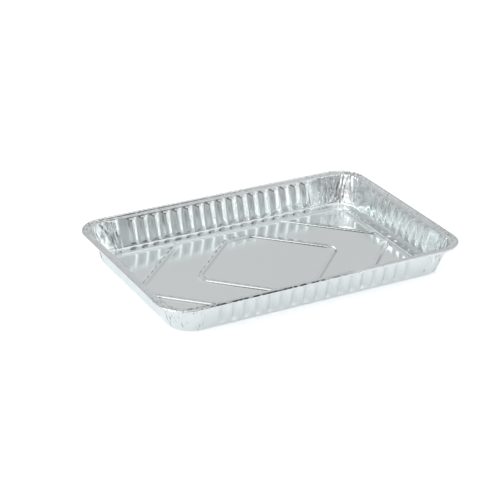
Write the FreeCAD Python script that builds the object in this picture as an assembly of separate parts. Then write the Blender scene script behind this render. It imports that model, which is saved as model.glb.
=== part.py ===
import FreeCAD, Part
import math
import os

V = FreeCAD.Vector

# A shallow rectangular tray pressed from one sheet of foil, standing on its floor.
# X is its length, Y its width, Z up; the origin is under the middle of the floor.
# All sizes are millimetres.

# Overall
length = 323.85          # over the rolled rim
width = 225.3            # over the rolled rim
height = 31.75           # underside of the floor to the top of the roll
foil = 0.10              # thickness of the sheet

# Rim, from its outer edge inwards
rim_corner_radius = 29.2  # outer edge of the rim, in plan
roll_radius = 1.35        # outside of the rolled edge
roll_turn = 320           # degrees that the edge is rolled past the flange
flange_width = 8.3        # outer edge to the outside face of the wall's top
shelf_width = 2.6         # lower step of the flange, next to the wall
shelf_bend = 0.8          # inside radius of the bend between wall and shelf
shelf_drop = 1.6          # top of the roll down to the shelf
step_rise = 0.5           # shelf up to the outer part of the flange
step_run = 0.5            # width of the slope between the two

# Walls
wall_draft = 7.7          # how far a wall leans out from its foot to its top
foot_corner_radius = 23.9  # corner of the tray at the floor, in plan
foot_fillet = 3.2         # outside bend between wall and floor

# Upright ribs pressed inwards on the walls
rib_pitch = 12.6
rib_width = 9.8
rib_height = 1.4
rib_bottom = 2.6          # lower end of a rib above the underside
rib_headroom = 2.15       # upper end of a rib below the shelf
plain_stretch = 16.0      # least length of smooth wall between a rib and a corner

# Pleats gathered in the four corners, running from floor to rim
pleats_per_corner = 9
pleat_foot_height = 0.35  # how far a pleat stands in at its lower end
pleat_top_height = 1.0    # and at its upper end
pleat_foot_width = 1.5
pleat_top_width = 2.8
pleat_bottom = 4.5        # lower end of a pleat above the underside
pleat_headroom = 1.95     # upper end of a pleat below the shelf

# Raised beads pressed up into the floor
bead_width = 8.0
border_height = 1.3       # bead that runs round the floor
border_inset = 12.4       # its centre line inside the foot of the walls
border_corner_radius = 12.0
lattice_height = 1.1      # six-sided bead and the four slanting ones
hexagon_end_gap = 55.0    # from its pointed ends to the border bead, between centre lines
hexagon_side_gap = 19.25  # from its long sides to the border bead, between centre lines
hexagon_flat = 27.0       # its long sides, between the sharp corners of its centre line
hexagon_bend = 12.0       # radius of its centre line at the corners
slant_end = 9.5           # from the X axis to where a slanting bead meets the border's short side
slant_overlap = 1.0       # how far a slanting bead runs on into the border bead

shelf_z = height - shelf_drop
half_length = length / 2
half_width = width / 2
wall_top_radius = rim_corner_radius - flange_width
foot_half_length = half_length - flange_width - wall_draft
foot_half_width = half_width - flange_width - wall_draft
lean = wall_draft / shelf_z
slope_length = math.hypot(1, lean)
rib_top = shelf_z - rib_headroom
pleat_top = shelf_z - pleat_headroom
border_x = foot_half_length - border_inset
border_y = foot_half_width - border_inset
head_room = 2.0           # how far the space over the tray is carried up
seam = 0.05               # how far the shelf and the outer rim run into each other
near = 0.01               # two edges this close lie at the same place


def arc_radius(chord, rise):
    """Radius of the arc that has this chord and this rise."""
    return (chord * chord / 4 + rise * rise) / (2 * rise)


def rounded_outline(half_x, half_y, radius, z):
    """Closed rectangle with rounded corners, centred on Z, at height z."""
    edges = []
    turn = radius * math.sqrt(0.5)
    centre_x = half_x - radius
    centre_y = half_y - radius
    for sx, sy in ((1, 1), (-1, 1), (-1, -1), (1, -1)):
        on_x_side = V(sx * half_x, sy * centre_y, z)
        middle = V(sx * (centre_x + turn), sy * (centre_y + turn), z)
        on_y_side = V(sx * centre_x, sy * half_y, z)
        first, last = (on_x_side, on_y_side) if sx == sy else (on_y_side, on_x_side)
        if edges:
            edges.append(Part.LineSegment(corner_end, first).toShape())
        else:
            corner_start = first
        edges.append(Part.Arc(first, middle, last).toShape())
        corner_end = last
    edges.append(Part.LineSegment(corner_end, corner_start).toShape())
    return Part.Wire(edges)


def wall_outline(z, inset):
    """Outline of the walls at height z, moved in by inset from their outer face."""
    share = z / shelf_z
    radius = foot_corner_radius + (wall_top_radius - foot_corner_radius) * share
    return rounded_outline(foot_half_length + lean * z - inset,
                           foot_half_width + lean * z - inset,
                           radius - inset, z)


def tub(bottom_z, inset, foot, brim_outline, brim_bottom, brim_top, bend):
    """Solid with sloping sides, a rounded lower edge and a brim that its sides bend into."""
    sides = Part.makeLoft([wall_outline(bottom_z, inset), wall_outline(shelf_z, inset)], True, True)
    low = [e for e in sides.Edges if e.BoundBox.ZMax < bottom_z + near]
    sides = sides.makeFillet(foot, low)
    brim = Part.Face(brim_outline).extrude(V(0, 0, brim_top - brim_bottom))
    solid = sides.fuse(brim).removeSplitter()
    spread = lean * brim_bottom - inset + near
    joint = []
    for edge in solid.Edges:
        box = edge.BoundBox
        level = abs(box.ZMin - brim_bottom) < near and abs(box.ZMax - brim_bottom) < near
        reach_x = max(box.XMax, -box.XMin)
        reach_y = max(box.YMax, -box.YMin)
        inner = reach_x < foot_half_length + spread and reach_y < foot_half_width + spread
        if level and inner:
            joint.append(edge)
    return solid.makeFillet(bend, joint)


def capsule(start, end, radius):
    """Round bar with ball ends whose centres are start and end."""
    axis = end - start
    span = axis.Length
    ball = radius * math.sqrt(0.5)
    lower = Part.Arc(V(0, 0, -radius), V(ball, 0, -ball), V(radius, 0, 0)).toShape()
    side = Part.LineSegment(V(radius, 0, 0), V(radius, 0, span)).toShape()
    upper = Part.Arc(V(radius, 0, span), V(ball, 0, span + ball), V(0, 0, span + radius)).toShape()
    core = Part.LineSegment(V(0, 0, span + radius), V(0, 0, -radius)).toShape()
    bar = Part.Face(Part.Wire([lower, side, upper, core])).revolve(V(0, 0, 0), V(0, 0, 1), 360)
    bar.Placement = FreeCAD.Placement(start, FreeCAD.Rotation(V(0, 0, 1), axis))
    return Part.Solid(bar)


def rib_count(foot_half):
    """How many ribs, one of them in the middle, fit on a wall of this half length at its foot."""
    last_centre = foot_half - foot_corner_radius - plain_stretch - rib_width / 2
    return 2 * int(last_centre / rib_pitch) + 1


def wall_ribs(skin):
    """Tools for the ribs on all four walls; skin is 0 for the inside, foil for the outside."""
    radius = arc_radius(rib_width, rib_height)
    stand_off = radius - rib_height
    round_end = rib_width / 2
    tools = []
    on_long_wall = rib_count(foot_half_length)
    on_short_wall = rib_count(foot_half_width)
    walls = ((V(0, 1, 0), foot_half_width, on_long_wall),
             (V(0, -1, 0), foot_half_width, on_long_wall),
             (V(1, 0, 0), foot_half_length, on_short_wall),
             (V(-1, 0, 0), foot_half_length, on_short_wall))
    for outward, reach, count in walls:
        along = V(0, 0, 1).cross(outward)
        up_wall = (outward * lean + V(0, 0, 1)) * (1 / slope_length)
        normal = (outward - V(0, 0, lean)) * (1 / slope_length)
        inner_foot = outward * reach - normal * foil
        for k in range(count):
            side = along * ((k - (count - 1) / 2) * rib_pitch)
            base = inner_foot + side + normal * stand_off
            start = base + up_wall * (rib_bottom * slope_length + round_end)
            end = base + up_wall * (rib_top * slope_length - round_end)
            tools.append(capsule(start, end, radius - skin))
    return tools


def corner_pleats(skin):
    """Tools for the pleats in the four corners."""
    foot_radius = arc_radius(pleat_foot_width, pleat_foot_height)
    top_radius = arc_radius(pleat_top_width, pleat_top_height)
    tools = []
    for sx, sy in ((1, 1), (-1, 1), (-1, -1), (1, -1)):
        for k in range(pleats_per_corner):
            angle = math.radians(90 * (k + 0.5) / pleats_per_corner)
            outward = V(sx * math.cos(angle), sy * math.sin(angle), 0)
            ends = []
            for z, offset in ((pleat_bottom, foot_radius - pleat_foot_height),
                              (pleat_top, top_radius - pleat_top_height)):
                share = z / shelf_z
                radius = foot_corner_radius + (wall_top_radius - foot_corner_radius) * share
                centre = V(sx * (foot_half_length + lean * z - radius),
                           sy * (foot_half_width + lean * z - radius), z)
                ends.append(centre + outward * (radius - foil * slope_length + offset))
            axis = ends[1] - ends[0]
            tools.append(Part.makeCone(foot_radius - skin, top_radius - skin, axis.Length, ends[0], axis))
    return tools


def bent_path(points, bend, z):
    """Closed path through points with its corners rounded to radius bend."""
    edges = []
    count = len(points)
    joints = []
    for k in range(count):
        corner = V(points[k][0], points[k][1], z)
        before = V(points[k - 1][0], points[k - 1][1], z) - corner
        after = V(points[(k + 1) % count][0], points[(k + 1) % count][1], z) - corner
        before.normalize()
        after.normalize()
        half_angle = before.getAngle(after) / 2
        setback = bend / math.tan(half_angle)
        inward = before + after
        inward.normalize()
        middle = corner + inward * (bend / math.sin(half_angle) - bend)
        joints.append((corner + before * setback, middle, corner + after * setback))
    for k in range(count):
        start, middle, end = joints[k]
        edges.append(Part.Arc(start, middle, end).toShape())
        edges.append(Part.LineSegment(end, joints[(k + 1) % count][0]).toShape())
    return Part.Wire(edges)


def round_bar(path, radius):
    """Solid bar of round section along a closed flat path."""
    start = path.Edges[0].Vertexes[0].Point
    heading = path.Edges[0].tangentAt(path.Edges[0].FirstParameter)
    section = Part.Wire(Part.Circle(start, heading, radius).toShape())
    return path.makePipeShell([section], True, False)


def floor_beads(skin):
    """Tools for the border bead, the six-sided bead and the four slanting beads."""
    border_radius = arc_radius(bead_width, border_height)
    lattice_radius = arc_radius(bead_width, lattice_height)
    border_z = foil + border_height - border_radius
    lattice_z = foil + lattice_height - lattice_radius
    corners = [(border_x, border_y), (-border_x, border_y), (-border_x, -border_y), (border_x, -border_y)]
    border = round_bar(bent_path(corners, border_corner_radius, border_z), border_radius - skin)
    point_x = border_x - hexagon_end_gap
    flat_x = hexagon_flat / 2
    flat_y = border_y - hexagon_side_gap
    hexagon = [(point_x, 0), (flat_x, flat_y), (-flat_x, flat_y),
               (-point_x, 0), (-flat_x, -flat_y), (flat_x, -flat_y)]
    tools = [border, round_bar(bent_path(hexagon, hexagon_bend, lattice_z), lattice_radius - skin)]
    # A slanting bead lies parallel to the nearest side of the six-sided one
    slant_start_x = border_x - (border_y - slant_end) * (point_x - flat_x) / flat_y
    for sx in (1, -1):
        for sy in (1, -1):
            along = V(sx * (point_x - flat_x), -sy * flat_y, 0)
            along.normalize()
            start = V(sx * slant_start_x, sy * border_y, lattice_z) - along * slant_overlap
            end = V(sx * border_x, sy * slant_end, lattice_z) + along * slant_overlap
            tools.append(Part.makeCylinder(lattice_radius - skin, (end - start).Length, start, end - start))
    return tools


def rim_section():
    """Section of the rim as a thin face; X is the distance outwards, Z is the height."""
    roll_z = height - roll_radius
    flange_z = shelf_z + step_rise
    shelf_end = -flange_width + shelf_width
    inner_end = shelf_end - seam
    roll_x = -roll_radius
    # Where the flange, seen as a flat line, runs into the top skin of the roll
    sink = roll_z + roll_radius - flange_z
    meet_x = roll_x - math.sqrt(roll_radius ** 2 - (roll_radius - sink) ** 2)
    middle_angle = math.atan2(flange_z - roll_z, meet_x - roll_x)
    end_angle = middle_angle - math.radians(roll_turn)
    half_turn = (middle_angle + end_angle) / 2

    def on_roll(radius, angle):
        return V(roll_x + radius * math.cos(angle), 0, roll_z + radius * math.sin(angle))

    inner = roll_radius - foil
    under_z = flange_z - foil
    under_x = roll_x - math.sqrt(inner ** 2 - (under_z - roll_z) ** 2)
    under_angle = math.atan2(under_z - roll_z, under_x - roll_x)
    step_shift = foil * math.tan(math.atan2(step_rise, step_run) / 2)
    top = [V(inner_end, 0, shelf_z), V(shelf_end, 0, shelf_z), V(shelf_end + step_run, 0, flange_z),
           V(meet_x, 0, flange_z)]
    under = [V(under_x, 0, under_z), V(shelf_end + step_run + step_shift, 0, under_z),
             V(shelf_end + step_shift, 0, shelf_z - foil), V(inner_end, 0, shelf_z - foil)]
    edges = [Part.LineSegment(a, b).toShape() for a, b in zip(top, top[1:])]
    edges.append(Part.Arc(on_roll(roll_radius, middle_angle), on_roll(roll_radius, half_turn),
                          on_roll(roll_radius, end_angle)).toShape())
    edges.append(Part.LineSegment(on_roll(roll_radius, end_angle), on_roll(inner, end_angle)).toShape())
    edges.append(Part.Arc(on_roll(inner, end_angle), on_roll(inner, (under_angle + end_angle) / 2),
                          on_roll(inner, under_angle)).toShape())
    edges += [Part.LineSegment(a, b).toShape() for a, b in zip(under, under[1:])]
    edges.append(Part.LineSegment(under[-1], top[0]).toShape())
    return Part.Face(Part.Wire(edges))


def rim():
    """The flange and its rolled edge, all the way round."""
    section = rim_section()
    centre_x = half_length - rim_corner_radius
    centre_y = half_width - rim_corner_radius
    pieces = []
    for k in range(4):
        swap = k % 2
        reach = half_width if swap else half_length
        half_run = centre_x if swap else centre_y
        turn = FreeCAD.Rotation(V(0, 0, 1), 90 * k)
        side = section.copy()
        side.translate(V(reach, -half_run, 0))
        side = side.extrude(V(0, 2 * half_run, 0))
        corner = section.copy()
        corner.translate(V(reach, half_run, 0))
        corner = corner.revolve(V(reach - rim_corner_radius, half_run, 0), V(0, 0, 1), 90)
        for piece in (side, corner):
            piece.Placement = FreeCAD.Placement(V(0, 0, 0), turn)
            pieces.append(piece)
    return pieces[0].fuse(pieces[1:])


def foil_tray():
    """The whole tray, one solid of even thickness."""
    shelf_edge = rounded_outline(half_length - flange_width + shelf_width,
                                 half_width - flange_width + shelf_width,
                                 wall_top_radius + shelf_width, shelf_z - foil)
    sky_edge = rounded_outline(half_length, half_width, rim_corner_radius, shelf_z)
    outside = tub(0, 0, foot_fillet, shelf_edge, shelf_z - foil, shelf_z, shelf_bend)
    inside = tub(foil, foil * slope_length, foot_fillet - foil, sky_edge, shelf_z, shelf_z + head_room,
                 shelf_bend + foil)
    outside = outside.cut(wall_ribs(foil) + corner_pleats(foil) + floor_beads(foil))
    inside = inside.cut(wall_ribs(0) + corner_pleats(0) + floor_beads(0))
    walls = outside.cut(inside)
    return walls.fuse(rim()).removeSplitter()


os.makedirs("parts", exist_ok=True)
tray = foil_tray()
print("solids", len(tray.Solids), "valid", tray.isValid(), "volume", round(tray.Volume, 1))
box = tray.optimalBoundingBox(True, True)
print("size", round(box.XLength, 3), round(box.YLength, 3), round(box.ZLength, 3), "from z", round(box.ZMin, 4))
tray.exportStep("parts/foil_tray.step")
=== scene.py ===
import math

import bmesh
import bpy
from mathutils import Matrix, Vector, noise


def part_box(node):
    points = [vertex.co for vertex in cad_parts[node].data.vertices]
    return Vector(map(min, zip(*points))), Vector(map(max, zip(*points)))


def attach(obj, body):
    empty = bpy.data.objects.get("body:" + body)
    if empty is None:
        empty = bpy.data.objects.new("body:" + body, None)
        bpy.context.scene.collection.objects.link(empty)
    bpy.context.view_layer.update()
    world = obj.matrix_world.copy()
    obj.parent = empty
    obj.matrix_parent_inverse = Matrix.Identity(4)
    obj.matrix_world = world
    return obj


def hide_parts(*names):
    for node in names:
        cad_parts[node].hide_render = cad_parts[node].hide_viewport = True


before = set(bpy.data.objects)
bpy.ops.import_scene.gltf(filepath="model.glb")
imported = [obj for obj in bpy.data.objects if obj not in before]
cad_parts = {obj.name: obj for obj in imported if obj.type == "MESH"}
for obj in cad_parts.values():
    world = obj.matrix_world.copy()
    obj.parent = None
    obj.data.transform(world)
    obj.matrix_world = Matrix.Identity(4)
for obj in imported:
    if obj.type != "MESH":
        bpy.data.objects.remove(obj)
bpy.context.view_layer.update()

mm = 0.001
touching = 0.001 * mm             # points nearer than this are in the same place
low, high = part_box("foil_tray")
halfLength = (high.x - low.x) / 2
halfWidth = (high.y - low.y) / 2
height = high.z


def clamp(share):
    return max(0, min(share, 1))


def eased(share):
    # from 0 to 1 with a soft start and a soft end
    share = clamp(share)
    return share * share * (3 - 2 * share)


def ramp(share, soft):
    # straight slope from 0 to 1, rounded over this share of it at each end
    if share <= 0 or share >= 1:
        return clamp(share)
    if share < soft:
        return share * share / (2 * soft * (1 - soft))
    if share > 1 - soft:
        return 1 - (1 - share) ** 2 / (2 * soft * (1 - soft))
    return (share - soft / 2) / (1 - soft)


def addObject(name, data):
    thing = bpy.data.objects.new(name, data)
    bpy.context.collection.objects.link(thing)
    return thing


def addMesh(name, bm):
    mesh = bpy.data.meshes.new(name)
    bm.to_mesh(mesh)
    bm.free()
    return addObject(name, mesh)


# section of the sheet, from the floor out to the rolled edge
sheet = {
    "foil": 0.10 * mm,
    "flangeWidth": 8.3 * mm,      # outer edge to the wall's top
    "wallDraft": 7.7 * mm,        # how far a wall leans out
    "shelfDrop": 1.6 * mm,        # top of the roll down to the shelf
    "shelfWidth": 2.6 * mm,
    "stepRise": 0.4 * mm,
    "stepRun": 0.5 * mm,
    "flangeTilt": 8.5,            # degrees, rising outwards
    "rollRadius": 1.35 * mm,
    "rollTurn": 320,              # degrees
    "footFillet": 3.2 * mm,
    "shelfBend": 0.8 * mm,
    "rimCornerRadius": 29.2 * mm,
    "footCornerRadius": 23.9 * mm,
    "footRows": 4,                # rows of points round the bend at the foot
    "endRows": 4,                 # rows where the ribs die away, low and high
    "wallRows": 8,                # rows between them
    "bendRows": 2,
    "rollRows": 8,
    "flatMargin": 0.12,           # how near the ends of a flat run its rows stand, as a share of it
    "meetGuess": 150,             # degrees round the roll, where the search for the flange's end starts
    "meetSteps": 20,
}
shelfZ = height - sheet["shelfDrop"]
footHalfX = halfLength - sheet["flangeWidth"] - sheet["wallDraft"]
footHalfY = halfWidth - sheet["flangeWidth"] - sheet["wallDraft"]
lean = sheet["wallDraft"] / shelfZ
leanAngle = math.atan(lean)
topRadius = sheet["rimCornerRadius"] - sheet["flangeWidth"]
wallFirst = sheet["footRows"]
wallLast = wallFirst + sheet["wallRows"] + 2 * sheet["endRows"]


def onCircle(centre, radius, degrees):
    angle = math.radians(degrees)
    return centre[0] + radius * math.cos(angle), centre[1] + radius * math.sin(angle)


def arcRows(centre, radius, first, last, count):
    # section points (outwards from the foot, up) round an arc, without its first point
    return [onCircle(centre, radius, first + (last - first) * k / count) for k in range(1, count + 1)]


def lineRows(start, end, shares):
    # section points at these shares of a straight run
    run, rise = end[0] - start[0], end[1] - start[1]
    return [(start[0] + run * share, start[1] + rise * share) for share in shares]


def evenRows(start, end, count):
    return lineRows(start, end, [k / count for k in range(1, count + 1)])


def flatRows(start, end):
    # a row close to each end keeps the shading flat between the bends
    margin = sheet["flatMargin"]
    return lineRows(start, end, (margin, 1 - margin, 1))


def flangeMeeting(flangeStart, rollCentre, radius):
    # the point and the angle where the straight flange runs into the roll, found step by step
    rise = math.tan(math.radians(sheet["flangeTilt"]))
    angle = sheet["meetGuess"]
    for step in range(sheet["meetSteps"]):
        meet = onCircle(rollCentre, radius, angle)
        miss = flangeStart[1] + (meet[0] - flangeStart[0]) * rise - meet[1]
        angle -= math.degrees(miss / radius)
    return meet, angle


def sectionRows():
    # underside of the sheet: floor's edge, bend, wall, shelf, step, flange, roll
    tilt = math.degrees(leanAngle)
    fillet, bend = sheet["footFillet"], sheet["shelfBend"]
    footCentre = (lean * fillet - fillet / math.cos(leanAngle), fillet)
    shelfUnder = shelfZ - sheet["foil"]
    bendCentre = (lean * (shelfUnder - bend) + bend / math.cos(leanAngle), shelfUnder - bend)
    bendStart = (bendCentre[0] - bend * math.cos(leanAngle), bendCentre[1] + bend * math.sin(leanAngle))
    lowZ = ribs["bottom"] + ribs["lowEnd"]
    highZ = shelfZ - ribs["headroom"] - ribs["highEnd"]
    shelfEnd = (sheet["wallDraft"] + sheet["shelfWidth"], shelfUnder)
    flangeStart = (shelfEnd[0] + sheet["stepRun"], shelfUnder + sheet["stepRise"])
    inner = sheet["rollRadius"] - sheet["foil"]
    outer = sheet["wallDraft"] + sheet["flangeWidth"]
    rollCentre = (outer - sheet["rollRadius"], height - sheet["rollRadius"])
    meet, meetAngle = flangeMeeting(flangeStart, rollCentre, inner)

    rows = [(footCentre[0], 0)]
    rows += arcRows(footCentre, fillet, -90, -tilt, sheet["footRows"])
    rows += evenRows(rows[-1], (lean * lowZ, lowZ), sheet["endRows"])
    rows += evenRows(rows[-1], (lean * highZ, highZ), sheet["wallRows"])
    rows += evenRows(rows[-1], bendStart, sheet["endRows"])
    rows += arcRows(bendCentre, bend, 180 - tilt, 90, sheet["bendRows"])
    rows += flatRows(rows[-1], shelfEnd)
    rows.append(flangeStart)
    rows += flatRows(rows[-1], meet)
    rows += arcRows(rollCentre, inner, meetAngle, meetAngle - sheet["rollTurn"], sheet["rollRows"])
    return rows


ribs = {
    "pitch": 12.6 * mm,
    "width": 10.3 * mm,
    "flank": 3.9 * mm,            # run of each sloping side
    "softness": 0.2,              # share of a flank that is rounded at each end
    "bendShare": 0.24,            # where the stations on that rounding stand
    "shift": -1.15 * mm,          # how far the long walls' ribs sit off the middle
    "height": 1.9 * mm,           # at the bottom
    "topHeight": 1.1 * mm,
    "bottom": 1.6 * mm,
    "headroom": 1.5 * mm,
    "lowEnd": 4.6 * mm,           # a rib dies away over this length at its lower end
    "rightLowEnd": 9 * mm,        # the same on the right wall
    "highEnd": 2.2 * mm,          # and at the upper end
    "heightSpread": 0.08,         # how unequal the ribs are, as a share of their height
    "bottomSpread": 0.32,         # and of their distance from the floor
    # radians from one rib to the next and from side to side, for the sines that make them unequal
    "heightWave": 2.4,
    "sideWave": 1.7,
    "bottomWave": 5.1,
    "plainStretch": 16 * mm,
    "plainStations": 20,          # stations on the smooth stretch beside a corner
    "cornerStations": 40,
}


def ribCount(footHalf):
    # ribs on each side of the middle one
    room = footHalf - sheet["footCornerRadius"] - ribs["plainStretch"] - ribs["width"] / 2
    return int(room / ribs["pitch"])


def ribShift(side):
    # sides are numbered from the right wall, anticlockwise
    return (0, -ribs["shift"], 0, ribs["shift"])[side]


def ribStations(side, count):
    # stations on the bends of each rib's profile
    edge = ribs["width"] / 2
    crest = edge - ribs["flank"]
    soft = ribs["bendShare"] * ribs["flank"]
    half = (crest, crest + soft, edge - soft, edge)
    bends = [-bend for bend in reversed(half)] + [0, *half, ribs["pitch"] / 2]
    middles = [ribShift(side) + k * ribs["pitch"] for k in range(-count, count + 1)]
    return [middle + bend for middle in middles for bend in bends]


def makeStations():
    # places round the tray, each with its side and its distance along it, or its share of the turn of the
    # corner that follows, and how far past the middle of the nearest corner it is
    stations = []
    for side in range(4):
        footHalf = footHalfY if side % 2 == 0 else footHalfX
        topHalf = footHalf + sheet["wallDraft"] - topRadius
        count = ribCount(footHalf)
        reach = (count + 0.5) * ribs["pitch"] + 2 * abs(ribs["shift"])    # as far as the ribs go
        plain = ribs["plainStations"]
        alongs = [-topHalf + (topHalf - reach) * k / plain for k in range(1, plain + 1)]
        alongs += ribStations(side, count)
        alongs += [reach + (topHalf - reach) * k / plain for k in range(plain)]
        for along in alongs:
            gap = topRadius * math.pi / 4 + topHalf - abs(along)
            stations.append({"side": side, "along": along, "reach": reach, "top": topHalf,
                             "fromCorner": gap if along < 0 else -gap})
        for k in range(ribs["cornerStations"] + 1):
            turn = k / ribs["cornerStations"]
            stations.append({"side": side, "turn": turn,
                             "fromCorner": (turn - 0.5) * math.pi / 2 * topRadius})
    return stations


def stationPlace(station, out, z):
    # point of the smooth sheet at this station, and the level direction out of the tray
    footRadius = sheet["footCornerRadius"]
    if out < 0:
        cornerRadius = footRadius + out
    elif out > sheet["wallDraft"]:
        cornerRadius = topRadius + out - sheet["wallDraft"]
    else:
        cornerRadius = footRadius + (topRadius - footRadius) * clamp(z / shelfZ)
    side = station["side"]
    outward = Vector((math.cos(side * math.pi / 2), math.sin(side * math.pi / 2), 0))
    onward = Vector((-outward.y, outward.x, 0))
    reach = (footHalfX if side % 2 == 0 else footHalfY) + out
    crossReach = (footHalfY if side % 2 == 0 else footHalfX) + out
    if "turn" in station:
        angle = station["turn"] * math.pi / 2
        direction = outward * math.cos(angle) + onward * math.sin(angle)
        centre = outward * (reach - cornerRadius) + onward * (crossReach - cornerRadius)
        return centre + direction * cornerRadius + Vector((0, 0, z)), direction
    along = station["along"]
    if abs(along) > station["reach"]:
        stretch = (crossReach - cornerRadius - station["reach"]) / (station["top"] - station["reach"])
        along = math.copysign(station["reach"] + (abs(along) - station["reach"]) * stretch, along)
    return outward * reach + onward * along + Vector((0, 0, z)), outward


def nearestRib(station):
    # its number from the middle of the wall, and how far off its middle the station is
    along = station["along"] - ribShift(station["side"])
    number = round(along / ribs["pitch"])
    return number, abs(along - number * ribs["pitch"])


def ribHeight(station, z):
    # flat-topped rib with straight flanks, no two quite alike
    number, offset = nearestRib(station)
    side = station["side"]
    lowEnd = ribs["rightLowEnd" if side == 0 else "lowEnd"]
    bottom = ribs["bottom"] * (1 + ribs["bottomSpread"] * math.sin(number * ribs["bottomWave"]))
    across = ramp((ribs["width"] / 2 - offset) / ribs["flank"], ribs["softness"])
    below = ramp((z - bottom) / lowEnd, ribs["softness"])
    above = ramp((shelfZ - ribs["headroom"] - z) / ribs["highEnd"], ribs["softness"])
    rise = ribs["height"] + (ribs["topHeight"] - ribs["height"]) * z / shelfZ
    rise *= 1 + ribs["heightSpread"] * math.sin(number * ribs["heightWave"] + side * ribs["sideWave"])
    return rise * min(across, below, above)


creases = {
    # corners: back right, back left, front left, front right
    "longReach": (33 * mm, 32 * mm, 26 * mm, 29 * mm),     # how far the folds reach along the long wall
    "shortReach": (19 * mm, 22 * mm, 22 * mm, 27 * mm),    # and along the short one
    "foldWidth": (4.0 * mm, 8.0 * mm, 6.5 * mm, 6.0 * mm),
    "foldLength": (34 * mm, 24 * mm, 26 * mm, 20 * mm),
    "height": (1.1 * mm, 1.5 * mm, 0.9 * mm, 1.2 * mm),
    "fade": 4 * mm,
    "seed": 7,
    "warp": 0.35,                 # how far the folds wander, as a share of their width
    "warpScale": (0.7, 2),        # across the folds and along them
    "warpSeed": 20,
    "crossScale": (1.9, 1.6),     # a second set of folds between the first ones
    "crossSeed": 9,
    "crossShare": 0.45,
    "sharpness": 3.2,
    "gather": 0.15,               # how much closer the folds stand at the floor
    "footShare": 0.25,            # how much of a fold is left at the floor
    "growRate": 1.6,              # how soon it is whole, going up the wall
    "fineHeight": 0.30 * mm,
    "fineScale": (700, 420, 5),   # along the wall, up it, and from corner to corner
    "waveHeight": 0.10 * mm,      # unevenness of the plain wall
    "waveScale": 75,
    "footWave": 0.5 * mm,         # dents along the foot, deepest on the right wall
    "footScale": 170,
    "footReach": 9 * mm,
    "footLeast": 0.5,             # crumpling along the foot of the right wall
    "elsewhere": 0.3,             # share of the dents and of the crumpling on the other walls
    "hemShadeFrom": -134 * mm,        # painted shade along the front hem, under the roll
    "hemShadeTo": 40 * mm,
    "hemShadeStart": 12 * mm,         # it comes in over this length
    "hemShadeEnd": 50 * mm,           # and goes out over this one
    "hemShadeRows": (1, 2),           # rows of the roll that it lies on
    "rimReach": 60 * mm,
    "rimLeast": 0.45,             # share of the crumpling left halfway along a side
    "rimHeight": 0.55 * mm,
    "rimScales": (380, 900),
    "rimWave": 0.6,
    "rimBias": 0.5,               # keeps the rim's dents below its smooth line
    "rimStart": 3,                # smooth rows above the wall
}


def cornerOf(station):
    if "turn" in station or station["along"] > 0:
        return station["side"]
    return (station["side"] + 3) % 4


def cornerWeight(station):
    # 1 in the crumpled corner, 0 on the plain stretch of wall
    corner, gap = cornerOf(station), station["fromCorner"]
    onLong = (gap > 0) == (corner % 2 == 0)
    reach = creases["longReach" if onLong else "shortReach"][corner]
    return eased((reach - abs(gap)) / creases["fade"])


def wallShare(outward):
    # whole on the right wall, and less on the others
    return max(outward.x, creases["elsewhere"])


def crease(value):
    # sharp where the noise changes sign, flat facets between
    return 1 - min(abs(value) * creases["sharpness"], 1)


def foldNoise(across, along, seed):
    warpAcross, warpAlong = creases["warpScale"]
    crossAcross, crossAlong = creases["crossScale"]
    bent = noise.noise(Vector((across * warpAcross, along * warpAlong, seed + creases["warpSeed"])))
    warp = creases["warp"] * bent
    first = Vector((across + warp, along, seed))
    second = Vector((across * crossAcross + warp, along * crossAlong, seed + creases["crossSeed"]))
    return crease(noise.noise(first)) + creases["crossShare"] * crease(noise.noise(second))


def cornerHeight(station, z):
    corner, gap = cornerOf(station), station["fromCorner"]
    share = clamp(z / shelfZ)
    # folds gather towards the floor, where the corner is tighter
    across = gap * (1 + creases["gather"] - creases["gather"] * share) / creases["foldWidth"][corner]
    lift = foldNoise(across, z / creases["foldLength"][corner], creases["seed"] * (corner + 1))
    alongScale, upScale, cornerScale = creases["fineScale"]
    fine = noise.noise(Vector((gap * alongScale, z * upScale, corner * cornerScale)))
    grow = creases["footShare"] + (1 - creases["footShare"]) * min(share * creases["growRate"], 1)
    return max(0, creases["height"][corner] * lift * grow + creases["fineHeight"] * fine * grow)


def wallLift(station, row, place, z, outward, weight):
    # how far the foot and the wall stand in from the smooth sheet
    lift = 0
    if "along" in station and abs(station["along"]) < station["reach"]:
        lift = ribHeight(station, z)
    if wallFirst <= row < wallLast:
        lift += creases["waveHeight"] * (0.5 + noise.noise(place * creases["waveScale"]))
    if row > 0:
        share = max(0, 1 - z / creases["footReach"]) * wallShare(outward)
        lift += creases["footWave"] * share * (0.5 + noise.noise(place * creases["footScale"]))
    if weight > 0 and row >= wallFirst:
        lift += weight * cornerHeight(station, z)
    return lift


def rimDent(place, near):
    # how far the shelf, the flange and the roll are pressed down near a corner
    coarse, fine = creases["rimScales"]
    wave = creases["rimWave"]
    ripple = wave * noise.noise(place * coarse) + wave * noise.noise(place * fine) - creases["rimBias"]
    return min(creases["rimHeight"] * near * ripple, 0)


def hemShadeShare(rollRow, place):
    # painted shade on the outer face of the roll, only along part of the front hem
    if rollRow not in creases["hemShadeRows"] or place.y > -footHalfY:
        return 0
    return clamp(min((place.x - creases["hemShadeFrom"]) / creases["hemShadeStart"],
                     (creases["hemShadeTo"] - place.x) / creases["hemShadeEnd"]))


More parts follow.
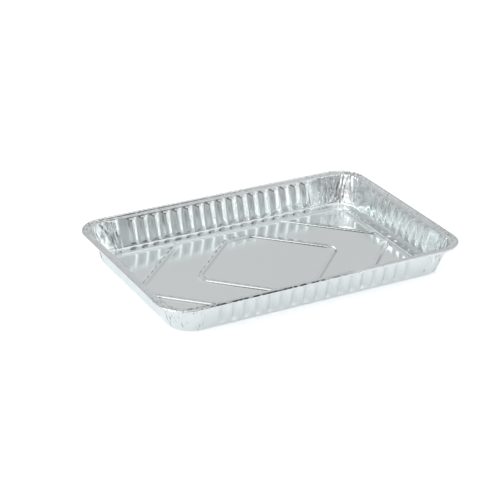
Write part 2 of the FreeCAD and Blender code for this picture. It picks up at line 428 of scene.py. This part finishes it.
def makeTray():
    rows = sectionRows()
    stations = makeStations()
    bm = bmesh.new()
    stationLayer = bm.verts.layers.int.new("station")
    rowLayer = bm.verts.layers.int.new("row")
    crumpleLayer = bm.verts.layers.float.new("crumple")
    # strength of the painted shade along the front hem
    hemShadeLayer = bm.verts.layers.float.new("hemShade")
    ring = bmesh.ops.create_circle(bm, segments=len(stations), radius=1)["verts"]
    ring.sort(key=lambda v: math.atan2(v.co.y, v.co.x))
    for k, vert in enumerate(ring):
        vert[stationLayer] = k
    edges = list(bm.edges)
    for k in range(1, len(rows)):
        grown = bmesh.ops.extrude_edge_only(bm, edges=edges)["geom"]
        edges = [g for g in grown if isinstance(g, bmesh.types.BMEdge)]
        for vert in grown:
            if isinstance(vert, bmesh.types.BMVert):
                vert[rowLayer] = k
    print("walls extruded:", len(bm.verts), "points")

    for vert in bm.verts:
        row, station = vert[rowLayer], stations[vert[stationLayer]]
        out, z = rows[row]
        place, outward = stationPlace(station, out, z)
        if row <= wallLast:
            weight = cornerWeight(station)
            inward = (Vector((0, 0, lean)) - outward).normalized()
            place += inward * wallLift(station, row, place, z, outward, weight)
            least = creases["footLeast"] * wallShare(outward) if row <= wallFirst else 0
            vert[crumpleLayer] = max(weight, least)
        else:
            near = eased(1 - abs(station["fromCorner"]) / creases["rimReach"])
            vert[crumpleLayer] = creases["rimLeast"] + (1 - creases["rimLeast"]) * near
            vert[hemShadeLayer] = hemShadeShare(row - len(rows) + sheet["rollRows"], place)
            if row > wallLast + creases["rimStart"]:
                place.z += rimDent(place, near)
        vert.co = place
    return bm


beads = {
    "halfWidth": 3.7 * mm,
    "softness": 0.22,             # share of a flank that is rounded at each end
    "borderHeight": 1.3 * mm,
    "borderInset": 12.4 * mm,
    "borderCornerRadius": 12 * mm,
    "latticeHeight": 0.93 * mm,   # the six-sided bead and the slanting ones
    "hexagonEndGap": 55 * mm,
    "hexagonSideGap": 19.25 * mm,
    "hexagonFlat": 27 * mm,
    "hexagonBend": 12 * mm,
    "slantEnd": 9.5 * mm,
}
borderX = footHalfX - beads["borderInset"]
borderY = footHalfY - beads["borderInset"]
pointX = borderX - beads["hexagonEndGap"]
flatX = beads["hexagonFlat"] / 2
flatY = borderY - beads["hexagonSideGap"]
slantStartX = borderX - (borderY - beads["slantEnd"]) * (pointX - flatX) / flatY


def segmentGap(x, y, start, end):
    dx, dy = end[0] - start[0], end[1] - start[1]
    share = clamp(((x - start[0]) * dx + (y - start[1]) * dy) / (dx * dx + dy * dy))
    return math.hypot(x - start[0] - dx * share, y - start[1] - dy * share)


def borderGap(x, y):
    radius = beads["borderCornerRadius"]
    pastX, pastY = abs(x) - borderX + radius, abs(y) - borderY + radius
    outside = math.hypot(max(pastX, 0), max(pastY, 0))
    return abs(outside + min(max(pastX, pastY), 0) - radius)


def hexagonGap(x, y):
    # the six-sided line with its corners rounded: the smaller six-sided shape, grown by the bend
    x, y = abs(x), abs(y)
    bend = beads["hexagonBend"]
    slope = math.atan2(flatY, pointX - flatX)
    innerPoint = pointX - bend / math.sin(slope)
    innerY = flatY - bend
    innerFlat = innerPoint - innerY / math.tan(slope)
    if (x - innerPoint) * math.sin(slope) + y * math.cos(slope) < 0 and y < innerY:
        return bend
    gap = min(segmentGap(x, y, (innerPoint, 0), (innerFlat, innerY)),
              segmentGap(x, y, (innerFlat, innerY), (0, innerY)))
    return abs(gap - bend)


def slantGap(x, y):
    return segmentGap(abs(x), abs(y), (slantStartX, borderY), (borderX, beads["slantEnd"]))


def beadGap(x, y):
    return min(borderGap(x, y), hexagonGap(x, y), slantGap(x, y))


def beadRise(gap):
    # ridge with straight flanks, 1 in the middle and 0 from one half-width out
    return ramp(1 - gap / beads["halfWidth"], beads["softness"])


def floorHeight(x, y):
    border = beads["borderHeight"] * beadRise(borderGap(x, y))
    lattice = beads["latticeHeight"] * beadRise(min(hexagonGap(x, y), slantGap(x, y)))
    return max(border, lattice)


floorGrid = {
    "edge": 6 * mm,               # the grid stops this far inside the foot
    "spacing": 3.2 * mm,
    "beadMargin": 0.2 * mm,       # finer faces reach this far past a bead
    "cuts": 2,
    "finestBelow": 1.3 * mm,
    "waveHeight": 0.10 * mm,
    "waveScale": (14, 22),
    "waveSeed": 3,
    "waveEdge": 20 * mm,          # the floor is flatter this near its edge
    "crumpled": 12 * mm,          # how far the crumpling of the foot reaches into the floor
}
floorX = footHalfX - floorGrid["edge"]
floorY = footHalfY - floorGrid["edge"]
beadBand = beads["halfWidth"] + floorGrid["beadMargin"]


def edgeMiddle(edge):
    return (edge.verts[0].co + edge.verts[1].co) / 2


def onMirroringBead(edge):
    # the slanting lines at the back left mirror the ribs of the back wall, so they get the finest faces
    middle = edgeMiddle(edge)
    if middle.z > touching or middle.x > 0 or middle.y < 0 or edge.calc_length() > floorGrid["finestBelow"]:
        return False
    if middle.y < borderY - beadBand and slantGap(middle.x, middle.y) < beads["halfWidth"]:
        return True
    return middle.y < flatY and hexagonGap(middle.x, middle.y) < beads["halfWidth"]


def addFloor(bm):
    radius = sheet["footCornerRadius"] - floorGrid["edge"]
    ringEdges = [e for e in bm.edges if e.is_boundary and max(v.co.z for v in e.verts) < touching]
    grid = bmesh.ops.create_grid(bm, x_segments=round(2 * floorX / floorGrid["spacing"]),
                                 y_segments=round(2 * floorY / floorGrid["spacing"]), size=1)["verts"]
    for vert in grid:
        x, y = vert.co.x * floorX, vert.co.y * floorY
        pastX = (abs(x) - floorX + radius) / radius
        pastY = (abs(y) - floorY + radius) / radius
        if pastX > 0 and pastY > 0:    # a square patch in the corner becomes a quarter of a disc
            x = math.copysign(floorX - radius + radius * pastX * math.sqrt(1 - pastY * pastY / 2), x)
            y = math.copysign(floorY - radius + radius * pastY * math.sqrt(1 - pastX * pastX / 2), y)
        vert.co = Vector((x, y, 0))
    gridEdges = list(dict.fromkeys(e for v in grid for e in v.link_edges))
    outline = [e for e in gridEdges if e.is_boundary]
    fine = [e for e in gridEdges if not e.is_boundary and beadGap(*edgeMiddle(e).xy) < beadBand]
    bmesh.ops.triangle_fill(bm, use_beauty=True, edges=ringEdges + outline, normal=(0, 0, 1))
    bmesh.ops.subdivide_edges(bm, edges=fine, cuts=floorGrid["cuts"], use_grid_fill=True)
    finest = [e for e in bm.edges if onMirroringBead(e)]
    bmesh.ops.subdivide_edges(bm, edges=finest, cuts=1, use_grid_fill=True)
    print("floor added:", len(bm.verts), "points")


def shapeFloor(bm):
    rowLayer = bm.verts.layers.int["row"]
    crumpleLayer = bm.verts.layers.float["crumple"]
    acrossScale, upScale = floorGrid["waveScale"]
    for vert in bm.verts:
        x, y = vert.co.x, vert.co.y
        inside = min(floorX - abs(x), floorY - abs(y))
        if vert[rowLayer] > 0 or inside < -touching:
            continue
        least = creases["footLeast"] * (1 if x > floorX - floorGrid["crumpled"] else creases["elsewhere"])
        vert[crumpleLayer] = least * max(0, 1 - inside / floorGrid["crumpled"])
        if inside > touching:
            wave = 0.5 + 0.5 * noise.noise(Vector((x * acrossScale, y * upScale, floorGrid["waveSeed"])))
            share = clamp(inside / floorGrid["waveEdge"])
            vert.co.z = floorHeight(x, y) + floorGrid["waveHeight"] * wave * share


print("shaping the sheet")
bm = makeTray()
addFloor(bm)
shapeFloor(bm)
bmesh.ops.recalc_face_normals(bm, faces=list(bm.faces))
middleFace = min(bm.faces, key=lambda f: f.calc_center_median().length)
if middleFace.normal.z > 0:    # the modelled surface is the underside, so it faces down and out
    bmesh.ops.reverse_faces(bm, faces=list(bm.faces))
for face in bm.faces:
    face.smooth = True
tray = addMesh("foilTray", bm)
thickness = tray.modifiers.new("thickness", "SOLIDIFY")
thickness.thickness = sheet["foil"]
thickness.offset = -1
print("sheet:", len(tray.data.polygons), "faces")


def setInputs(tree, node, inputs):
    # each input gets a value, or is joined to another node's output
    for name, value in inputs.items():
        if isinstance(value, bpy.types.NodeSocket):
            tree.links.new(value, node.inputs[name])
        else:
            node.inputs[name].default_value = value


def addNode(tree, kind, inputs=None, **settings):
    node = tree.nodes.new("ShaderNode" + kind)
    for name, value in settings.items():
        setattr(node, name, value)
    setInputs(tree, node, inputs or {})
    return node


def mathNode(tree, operation, *values, **settings):
    node = addNode(tree, "Math", dict(enumerate(values)), operation=operation, **settings)
    return node.outputs[0]


def makeGroup(name, inputs, outputs):
    group = bpy.data.node_groups.new(name, "ShaderNodeTree")
    for direction, sockets in (("INPUT", inputs), ("OUTPUT", outputs)):
        for socket, kind in sockets.items():
            group.interface.new_socket(socket, in_out=direction, socket_type="NodeSocket" + kind)
    return group, group.nodes.new("NodeGroupInput").outputs, group.nodes.new("NodeGroupOutput")


def makeMaterial(name):
    material = bpy.data.materials.new(name)
    material.use_nodes = True
    return material, material.node_tree, material.node_tree.nodes["Principled BSDF"]


finish = {
    "colour": (0.86, 0.902, 0.905, 1),
    "roughness": 0.11,
    "roughnessSpread": 0.05,
    # noises: stretch along each axis, scale, detail, kind
    "grain": ((1, 30, 1), 60, 3, "FBM"),
    "dents": ((1, 1.6, 1.6), 55, 1, "FBM"),
    "wrinkles": ((1, 1, 0.6), 260, 3, "RIDGED_MULTIFRACTAL"),
    "pleats": ((1, 1, 0.1), 330, 1, "RIDGED_MULTIFRACTAL"),
    "grainDepth": 0.006 * mm,     # fine lines left by the rolling mill
    "dentDepth": 0.05 * mm,       # shallow dents a finger wide
    "wrinkleDepth": 0.45 * mm,    # where the sheet is gathered
    "pleatDepth": 0.25 * mm,      # upright creases in the corners
    "foldFrom": 0.10,             # the pleats' noise where their shade starts
    "foldTo": 0.45,               # and where it is full
    "foldShade": 0.6,
    # colour of the painted shade in the bottoms of the creases and along the hem
    "paintedShadeColour": (0.05, 0.055, 0.06, 1),
    "dashScale": 300,
    "dashFrom": 0.42,             # the noise where a dash starts
    "dashTo": 0.50,               # and where it is darkest
    "dashLeast": 0.25,            # how dark the hem's painted shade is between the dashes
}


def foilNoise(tree, place, name):
    stretch, scale, detail, kind = finish[name]
    spread = addNode(tree, "Mapping", {"Vector": place, "Scale": stretch})
    inputs = {"Vector": spread.outputs["Vector"], "Scale": scale, "Detail": detail}
    return addNode(tree, "TexNoise", inputs, noise_type=kind).outputs["Fac"]


def bumped(tree, reliefSocket, depth, strength=1, normal=None):
    inputs = {"Height": reliefSocket, "Distance": depth, "Strength": strength}
    if normal:
        inputs["Normal"] = normal
    return addNode(tree, "Bump", inputs).outputs["Normal"]


def foilGroup():
    # rolled foil: mill lines on level faces, shallow dents, wrinkles and pleats where the mask is set
    tree, given, end = makeGroup("foilSurface", {"Vector": "Vector", "Crumple": "Float"},
                                 {"Normal": "Vector", "Roughness": "Float", "Fold": "Float"})
    grain, dents, wrinkles, pleats = [
        foilNoise(tree, given["Vector"], name) for name in ("grain", "dents", "wrinkles", "pleats")]
    facing = addNode(tree, "SeparateXYZ", {0: addNode(tree, "NewGeometry").outputs["Normal"]})
    level = mathNode(tree, "ABSOLUTE", facing.outputs["Z"])
    normal = bumped(tree, dents, finish["dentDepth"])
    normal = bumped(tree, grain, finish["grainDepth"], level, normal)
    normal = bumped(tree, wrinkles, finish["wrinkleDepth"], given["Crumple"], normal)
    normal = bumped(tree, pleats, finish["pleatDepth"], given["Crumple"], normal)
    # the bottom of each upright crease, where hardly any light gets in
    fold = addNode(tree, "MapRange", {"Value": pleats, "From Min": finish["foldFrom"],
                                      "From Max": finish["foldTo"]})
    rough = addNode(tree, "MapRange", {"Value": grain, "To Min": finish["roughness"],
                                       "To Max": finish["roughness"] + finish["roughnessSpread"]})
    shaded = mathNode(tree, "MULTIPLY", fold.outputs["Result"], given["Crumple"])
    setInputs(tree, end, {"Normal": normal, "Roughness": rough.outputs["Result"], "Fold": shaded})
    return tree


def foilMaterial():
    material, tree, shader = makeMaterial("rolledFoil")
    place = addNode(tree, "TexCoord").outputs["Object"]
    crumple = addNode(tree, "Attribute", attribute_name="crumple").outputs["Fac"]
    hemShade = addNode(tree, "Attribute", attribute_name="hemShade").outputs["Fac"]
    surface = addNode(tree, "Group", {"Vector": place, "Crumple": crumple}, node_tree=foilGroup())
    # painted shade: dark dashes along the hem, under the roll
    dashes = addNode(tree, "TexNoise", {"Vector": place, "Scale": finish["dashScale"]})
    cover = addNode(tree, "MapRange", {"Value": dashes.outputs["Fac"], "From Min": finish["dashFrom"],
                                       "From Max": finish["dashTo"], "To Min": finish["dashLeast"]})
    hem = mathNode(tree, "MULTIPLY", cover.outputs["Result"], hemShade)
    fold = surface.outputs["Fold"]
    # painted shade: the bottoms of the creases and the dashes along the hem darken the colour
    darker = mathNode(tree, "MULTIPLY_ADD", fold, finish["foldShade"], hem, use_clamp=True)
    tint = addNode(tree, "Mix", {"A": finish["colour"], "B": finish["paintedShadeColour"], "Factor": darker},
                   data_type="RGBA")
    setInputs(tree, shader, {"Metallic": 1, "Base Color": tint.outputs["Result"],
                             "Normal": surface.outputs["Normal"],
                             "Roughness": surface.outputs["Roughness"]})
    return material


tray.data.materials.append(foilMaterial())
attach(tray, "root")
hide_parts("foil_tray")
print("foil finished")


stage = {
    "floorRadius": 8,
    "floorSides": 64,
    "gap": 0.05 * mm,             # keeps the floor clear of the tray's underside
    "floorColour": (0.89, 0.9, 0.91, 1),
    "floorRoughness": 0.9,
    "glowColour": (0.97, 0.99, 1, 1),
    # added where the camera looks, and where the foil mirrors the floor
    "glow": {"Is Camera Ray": 0.5, "Is Glossy Ray": 0.24, "Is Transmission Ray": 0.24},
}


def makeFloor():
    bm = bmesh.new()
    under = Matrix.Translation((0, 0, -stage["gap"]))
    bmesh.ops.create_circle(bm, cap_ends=True, segments=stage["floorSides"], radius=stage["floorRadius"],
                            matrix=under)
    floor = addMesh("floor", bm)
    material, tree, shader = makeMaterial("whitePaper")
    path = addNode(tree, "LightPath")
    glow = 0
    for ray, strength in stage["glow"].items():
        glow = mathNode(tree, "MULTIPLY_ADD", path.outputs[ray], strength, glow)
    setInputs(tree, shader, {"Base Color": stage["floorColour"], "Roughness": stage["floorRoughness"],
                             "Specular IOR Level": 0, "Emission Color": stage["glowColour"],
                             "Emission Strength": glow})
    floor.data.materials.append(material)


light = {
    "ambient": 0.51,
    # softboxes and dark cards: azimuth anticlockwise from +X and half its spread, elevation and half its
    # spread, softness of the edges, all in degrees, then the brightness added
    "cards": {
        "leftBox": (178, 34, 40, 16, 8, 1.75),
        "leftLow": (-165, 36, 20, 8, 8, 0.40),
        "leftFront": (-128, 22, 42, 14, 8, 0.24),
        "rightLow": (-14, 48, 14, 16, 4, 0.42),
        "rightHigh": (-6, 26, 44, 14, 6, 0.60),
        "rightSlot": (30, 14, 21, 5, 5, -0.62),
        "rightDim": (-20, 16, 26, 4, 3, -0.30),
        "frontSlot": (-80, 18, 29, 13, 3, -0.36),
        "frontHigh": (-64, 24, 52, 9, 4, 0.15),
        "frontDim": (-75, 8, 3, 8, 4, -0.15),
        "frontLow": (-116, 14, 3, 12, 6, -0.28),
        "zenith": (0, 180, 79, 20, 5, 0.45),
        "backGlow": (62, 14, 24, 9, 6, 0.11),
        "backLow": (112, 30, 27, 5, 3, -0.10),
        "backDim": (62, 4, 44, 8, 4, -0.46),
        "backHigh": (77, 11, 57, 6, 4, 0.75),
        "backRight": (42, 15, 44, 9, 5, 0.14),
        "flangeRight": (84, 22, 34, 4, 3, 0.18),
    },
}
cardInputs = ("Middle", "Spread", "Height", "Rise", "Softness", "Level")


def softboxGroup():
    # brightness of one card in a direction: soft-edged in azimuth and in elevation
    tree, given, end = makeGroup("softbox", dict.fromkeys(("Azimuth", "Elevation", *cardInputs), "Float"),
                                 {"Brightness": "Float"})

    def work(operation, *values):
        return mathNode(tree, operation, *values)

    def window(distance, reach):
        edge = work("DIVIDE", work("SUBTRACT", reach, distance), given["Softness"])
        soft = addNode(tree, "MapRange", {"Value": edge, "From Min": -0.5, "From Max": 0.5},
                       interpolation_type="SMOOTHSTEP")
        return soft.outputs["Result"]

    around = work("WRAP", work("SUBTRACT", given["Azimuth"], given["Middle"]), 180, -180)
    across = window(work("ABSOLUTE", around), given["Spread"])
    upward = work("ABSOLUTE", work("SUBTRACT", given["Elevation"], given["Height"]))
    both = work("MULTIPLY", across, window(upward, given["Rise"]))
    setInputs(tree, end, {"Brightness": work("MULTIPLY", both, given["Level"])})
    return tree


def makeWorld():
    world = bpy.data.worlds.new("studio")
    bpy.context.scene.world = world
    world.use_nodes = True
    tree = world.node_tree
    direction = addNode(tree, "SeparateXYZ", {0: addNode(tree, "TexCoord").outputs["Generated"]}).outputs
    azimuth = mathNode(tree, "DEGREES", mathNode(tree, "ARCTAN2", direction["Y"], direction["X"]))
    elevation = mathNode(tree, "DEGREES", mathNode(tree, "ARCSINE", direction["Z"]))
    group = softboxGroup()
    total = light["ambient"]
    for name, values in light["cards"].items():
        inputs = {"Azimuth": azimuth, "Elevation": elevation, **dict(zip(cardInputs, values))}
        card = addNode(tree, "Group", inputs, node_tree=group, name=name)
        total = mathNode(tree, "ADD", card.outputs["Brightness"], total)
    # the camera itself sees plain white
    background = tree.nodes["Background"]
    setInputs(tree, background, {"Color": (1, 1, 1, 1), "Strength": total})
    white = addNode(tree, "Background", {"Color": (1, 1, 1, 1), "Strength": 1})
    path = addNode(tree, "LightPath")
    chooser = addNode(tree, "MixShader", {0: path.outputs["Is Camera Ray"], 1: background.outputs[0],
                                          2: white.outputs[0]})
    setInputs(tree, tree.nodes["World Output"], {"Surface": chooser.outputs[0]})


camera = {
    "azimuth": -28.07,
    "elevation": 25.28,
    "roll": 0.27,
    "distance": 1.6152,
    "aside": -0.02199,
    "above": 0.01633,
    "lens": 118.84,
    "sensor": 36,
}


def makeCamera():
    turn, tilt, roll = [math.radians(camera[name]) for name in ("azimuth", "elevation", "roll")]
    back = Vector((math.sin(turn) * math.cos(tilt), -math.cos(turn) * math.cos(tilt), math.sin(tilt)))
    right = Vector((math.cos(turn), math.sin(turn), 0))
    up = back.cross(right)
    side = right * math.cos(roll) + up * math.sin(roll)
    upright = up * math.cos(roll) - right * math.sin(roll)
    data = bpy.data.cameras.new("camera")
    data.lens = camera["lens"]
    data.sensor_width = camera["sensor"]
    eye = addObject("camera", data)
    place = side * camera["aside"] + upright * camera["above"] + back * camera["distance"]
    eye.matrix_world = Matrix.Translation(place) @ Matrix((side, upright, back)).transposed().to_4x4()
    bpy.context.scene.camera = eye


makeFloor()
makeWorld()
makeCamera()
bpy.context.scene.view_settings.view_transform = "Standard"
print("stage set")
